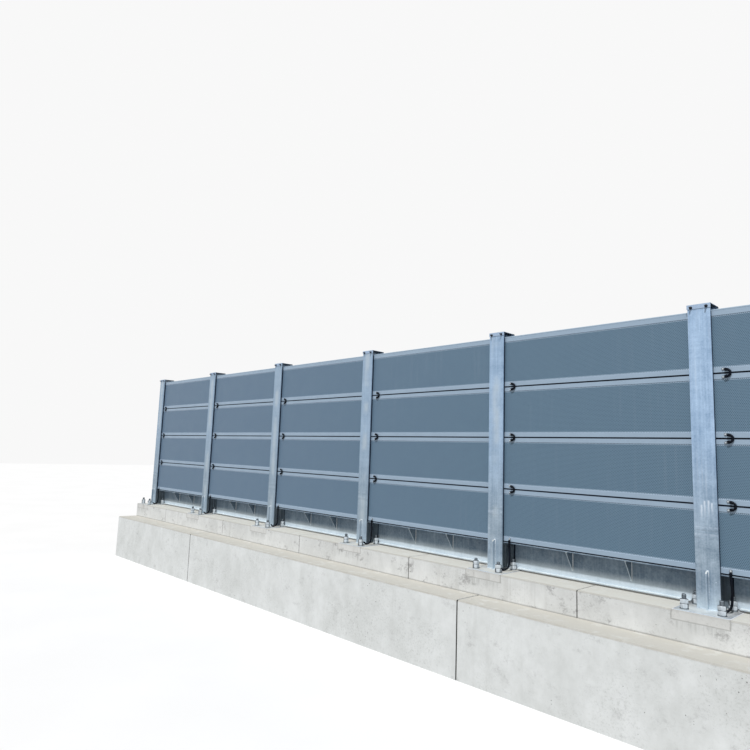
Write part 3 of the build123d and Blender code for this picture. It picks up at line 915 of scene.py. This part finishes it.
# %% [markdown]
# ## Round cables
#
# A short black cable bonds each panel to the next, so that the whole row is earthed, and another
# runs from the lowest panel to the base plate. In the CAD frame they are six-sided to save
# facets. Here each is a smooth curve with a round bevel that stands for the CAD solid: a curve
# stays editable, and its few control points give an even bend.

# %% Cable helper
cable_radius, cable_lift, lug_thick = 0.0095, 0.0105, 0.0015
lug_depth, cable_depth = panel_front - lug_thick, panel_front - cable_lift
sleeve_start, barrel_end = 0.022, 0.031


def cable_piece(name, runs, replaced):
    """One round cable for each run of control points, in place of a CAD node."""
    curve = bpy.data.curves.new(name, "CURVE")
    curve.dimensions = "3D"
    curve.bevel_depth = cable_radius
    curve.bevel_resolution = 5
    curve.use_fill_caps = True
    for points in runs:
        spline = curve.splines.new("NURBS")
        spline.points.add(len(points) - 1)
        for point, place in zip(spline.points, points):
            point.co = (*place, 1)
        spline.order_u = 3
        spline.use_endpoint_u = True
        spline.resolution_u = 10
    curve.materials.append(materials["cable_sheath"])
    piece = new_object(name, curve)
    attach(piece, "root")
    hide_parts(replaced)
    print(name, len(runs), "runs")


print("cable helper ready")

# %% Jumpers across the panel joints
jumper_x, jumper_half, bend_radius, slant = 0.158, 0.033, 0.0265, math.radians(12)
joint_levels = [panel_foot + row * panel_pitch - 0.0045 for row in (1, 2, 3)]
turn, legs = math.pi / 2 - slant, 8
arc_x = jumper_half / math.tan(slant) - bend_radius / math.sin(slant)
near_z = jumper_half - sleeve_start * math.sin(slant)
# Each leg between the control points touches the bend's arc, and so does the curve.
step = -2 * turn / legs
reach = bend_radius / math.cos(step / 2)
angles = [turn + (k + 0.5) * step for k in range(legs)]
jumpers = []
for x, z in product(post_places[:-1], joint_levels):
    bolt_x = x + jumper_x
    near_x = bolt_x + sleeve_start * math.cos(slant)
    bend = [(bolt_x + arc_x + reach * math.cos(a), cable_depth, z + reach * math.sin(a)) for a in angles]
    jumpers.append([(near_x, cable_depth, z + near_z), *bend, (near_x, cable_depth, z - near_z)])
cable_piece("jumper_cable_runs", jumpers, "jumper_cables")

# %% Earth cables down to the base plates
earth_x, earth_top, earth_bow, earth_bend = 0.158, panel_foot + 0.027, 0.007, 0.050
earth_foot = Vector((0.100, 0.096, plate_top + lug_thick))
heading = Vector((earth_foot.x - earth_x, earth_foot.y - cable_depth, 0))
earth_span = heading.length
heading.normalize()
low = plate_top + cable_lift
drop = (earth_top - barrel_end - low) / 3
reach = earth_bend / math.cos(math.pi / 16)
profile = [(0, 0, earth_top - sleeve_start), (0, 0, earth_top - barrel_end - 0.01)]
profile += [(earth_bow, 0, earth_top - barrel_end - drop * k) for k in (1, 2)]
for k in range(4):
    a = math.pi * (9 + 2 * k) / 8
    profile.append((0, earth_bend + reach * math.cos(a), low + earth_bend + reach * math.sin(a)))
profile.append((0, earth_span - sleeve_start, low))
earths = []
for x in post_places[:-1]:
    top_of_run = Vector((x + earth_x, cable_depth, 0))
    earths.append([top_of_run + heading * out + Vector((bow, 0, z)) for bow, out, z in profile])
cable_piece("earth_cable_runs", earths, "earth_cables")

# %% [markdown]
# ## Sleeves and lug bolts
#
# A black sleeve is shrunk over the crimp of every lug, thick over the barrel and drawn in where
# it grips the cable. It hides most of the tinned copper, so that only the bolted tip shines.
# Rings of changing radius along the barrel make it.

# %% Sleeves over the crimps
sleeves, lug_bolts = bmesh.new(), bmesh.new()
sleeve_from_bolt, barrel_radius, lug_nut = 0.0140, 0.0095, (0.012, 0.0052, 0.0076)
sleeve_profile = [
    (0.0095, 0.0118, 0.0), (0.0111, 0.0126, 0.0010), (0.0111, 0.0127, 0.0168), (0.0109, 0.0121, 0.0190),
    (0.0103, 0.0107, 0.0215), (0.0101, 0.0102, 0.0290), (0.0097, 0.0097, 0.0296),
]


def lug_at(place, along, out):
    """A sleeve over the crimp, and the bolt itself."""
    place, along, out = map(Vector, (place, along, out))
    across = out.cross(along)
    start = Matrix.Translation(place + along * sleeve_from_bolt + out * barrel_radius)
    to_row = start @ Matrix((out, across, along)).transposed().to_4x4()
    skin_rings(sleeves, [cut_ring(*ring) for ring in sleeve_profile], to_row)
    bolt_head(lug_bolts, place + out * lug_thick, out, *lug_nut)


for x in post_places[:-1]:
    for z, side in product(joint_levels, (-1, 1)):
        along = (math.cos(slant), 0, -side * math.sin(slant))
        lug_at((x + jumper_x, lug_depth, z + side * jumper_half), along, (0, -1, 0))
    lug_at((x + earth_x, lug_depth, earth_top), (0, 0, -1), (0, -1, 0))
    lug_at(Vector((x, 0, 0)) + earth_foot, -heading, (0, 0, 1))
finish_piece("cable_sleeves", sleeves, "cable_sheath", 50)
finish_piece("lug_bolts", lug_bolts, "zinc_bolt", 30)

# %% [markdown]
# ## Weld beads
#
# The post is welded to its base plate all round, the rib to the flange, and each gusset to its
# beam. A weld is laid as a row of overlapping drops, so the bead swells and shrinks every few
# millimetres. Here its quarter-round section follows the corner line, and a cosine gives the
# ripple. Modelled beads catch light as the real ones do, and a bump on a flat plate would not.

# %% Bead helper
half_ripple, sweep = 0.00225, (0, 0.52, 1.05, math.pi / 2)


def lay_bead(mesh, start, end, side_a, side_b, leg):
    """A rippled fillet along a corner line. side_a and side_b point away from it along each face."""
    start, end, side_a, side_b = map(Vector, (start, end, side_a, side_b))
    steps = max(4, round((end - start).length / half_ripple))
    rows = []
    for k in range(steps + 1):
        size = leg * (1 + 0.13 * math.cos(math.pi * k) + 0.08 * math.sin(k * 0.37))
        size *= 0.55 if k in (0, steps) else 1
        base = start.lerp(end, k / steps)
        arc = [base + side_a * size * math.cos(a) + side_b * size * math.sin(a) for a in sweep]
        rows.append([mesh.verts.new(p) for p in [base - (side_a + side_b) * 0.0004] + arc])
    for low, high in zip(rows, rows[1:]):
        for i in range(1, 4):
            mesh.faces.new((low[i], low[i + 1], high[i + 1], high[i]))
    mesh.faces.new(rows[0])
    mesh.faces.new(reversed(rows[-1]))


print("bead helper ready")

# %% Post and rib welds
post_welds = bmesh.new()
lay = partial(lay_bead, post_welds)
web_half, root, rib_half, rib_high, rib_deep, head_half = 0.00375, 0.008, 0.006, 0.290, 0.040, 0.009
clear = flange + root
z, skyward, trackward = plate_top, (0, 0, 1), (0, -1, 0)
for x in post_places:
    for y, out in ((post_front, -1), (post_back, 1)):
        lay((x - post_half, y, z), (x + post_half, y, z), (0, out, 0), skyward, 0.0070)
        inner = y - out * flange
        for side in (-1, 1):
            edge, neck = x + side * post_half, x + side * (web_half + root)
            lay((edge, y, z), (edge, inner, z), (side, 0, 0), skyward, 0.0055)
            lay((edge, inner, z), (neck, inner, z), (0, -out, 0), skyward, 0.0060)
    for side in (-1, 1):
        web_x, foot = x + side * web_half, (x + side * rib_half, post_front, z)
        lay((web_x, post_front + clear, z), (web_x, post_back - clear, z), (side, 0, 0), skyward, 0.0060)
        lay(foot, (foot[0], post_front, z + rib_high), (side, 0, 0), trackward, 0.0048)
        lay(foot, (foot[0], post_front - rib_deep, z), (side, 0, 0), skyward, 0.0055)
    head = z + rib_high
    lay((x - head_half, post_front, head), (x + head_half, post_front, head), trackward, skyward, 0.0060)
finish_piece("post_welds", post_welds, "bright_weld", 60)

# %% Gusset welds
beam_welds = bmesh.new()
lay = partial(lay_bead, beam_welds)
web_face, beam_under, gusset_half, gusset_high, gusset_deep = 0.305, 1.237, 0.004, 0.184, 0.126
gusset_offsets = (-0.235, 0.325)
for centre, offset, side in product(bay_centres, gusset_offsets, (-1, 1)):
    x = centre + offset + side * gusset_half
    corner, out = (x, web_face, beam_under), (side, 0, 0)
    lay(corner, (x, web_face, beam_under - gusset_high), out, trackward, 0.0050)
    lay(corner, (x, web_face - gusset_deep, beam_under), out, (0, 0, -1), 0.0050)
finish_piece("beam_welds", beam_welds, "seam_zinc", 60)

# %% [markdown]
# ## Filler in the concrete joints
#
# The blocks are cast against a soft fibre board, which stays in the joint a little behind the
# face and keeps the blocks apart. From the track it is the dark line in each joint. Its face is
# rough and slightly hollow, so it is built as a strip with a wavy front instead of a flat box.

# %% Joint boards
boards, board_step, board_hollow = bmesh.new(), 0.02, 0.0035
kerb_inset, kerb_gap, block_back = 0.005, 0.010, 0.400
wall_inset, wall_gap, wall_foot, wall_joints = 0.006, 0.016, 0.004, (1.95, -3.38)


def joint_strip(front, foot, head, inset, x, width):
    """Follow the board's outline in short steps, hollow in the middle of its width."""
    front, back, head = front + inset, block_back - inset, head - inset
    section = [(front, foot), (front, head), (back, head), (back, foot)]
    outline = []
    for (y0, z0), (y1, z1) in zip(section, section[1:] + section[:1]):
        count = max(2, int(math.hypot(y1 - y0, z1 - z0) / board_step))
        outline += [(y0 + (y1 - y0) * k / count, z0 + (z1 - z0) * k / count) for k in range(count)]
    middle_y, middle_z = (sum(p[axis] for p in outline) / len(outline) for axis in (0, 1))
    rings = []
    for share in (-0.5, -0.25, 0.0, 0.25, 0.5):
        hollow = board_hollow * math.cos(share * math.pi)
        ring = []
        for k, (y, z) in enumerate(outline):
            away = Vector((0, y - middle_y, z - middle_z)).normalized()
            dent = hollow * (1 + 0.5 * math.sin(k * 1.7 + x * 3))
            ring.append((x + share * width, y - away.y * dent, z - away.z * dent))
        rings.append(ring)
    skin_rings(boards, rings, Matrix.Identity(4))


for x in bay_centres:
    joint_strip(kerb_front, ledge_top, kerb_top, kerb_inset, x, kerb_gap)
for x in wall_joints:
    joint_strip(wall_front, wall_foot, ledge_top, wall_inset, x, wall_gap)
finish_piece("joint_boards", boards, "joint_board", 50)

# %% [markdown]
# ## The floor
#
# The floor only carries the shadow. It is a very large sheet whose colour meets the backdrop at
# the horizon, with a trace of grain so that it isn't a flat tone. It is pale to the eye, but it
# throws back less light than it shows, so that the shaded steel under the panels stays dark.

# %% Floor
floor_mesh, floor_data = bmesh.new(), bpy.data.meshes.new("studio_floor")
bmesh.ops.create_grid(floor_mesh, x_segments=8, y_segments=8, size=60)
floor_mesh.to_mesh(floor_data)
floor_mesh.free()
floor = new_object("studio_floor", floor_data)
n = new_finish("pale_floor", specular=0.0)
soft = n.span(n.cloud(0.7, detail=3), 0.3, 0.7)
by_eye = n.put("ShaderNodeLightPath")["Is Camera Ray"]
seen_floor = n.tint(soft, (0.86, 0.86, 0.86, 1), (0.88, 0.88, 0.88, 1))
n.results(base_color=n.tint(by_eye, (0.36, 0.36, 0.36, 1), seen_floor), roughness=0.9)
floor_data.materials.append(materials["pale_floor"])
print("floor side:", floor.dimensions.x)
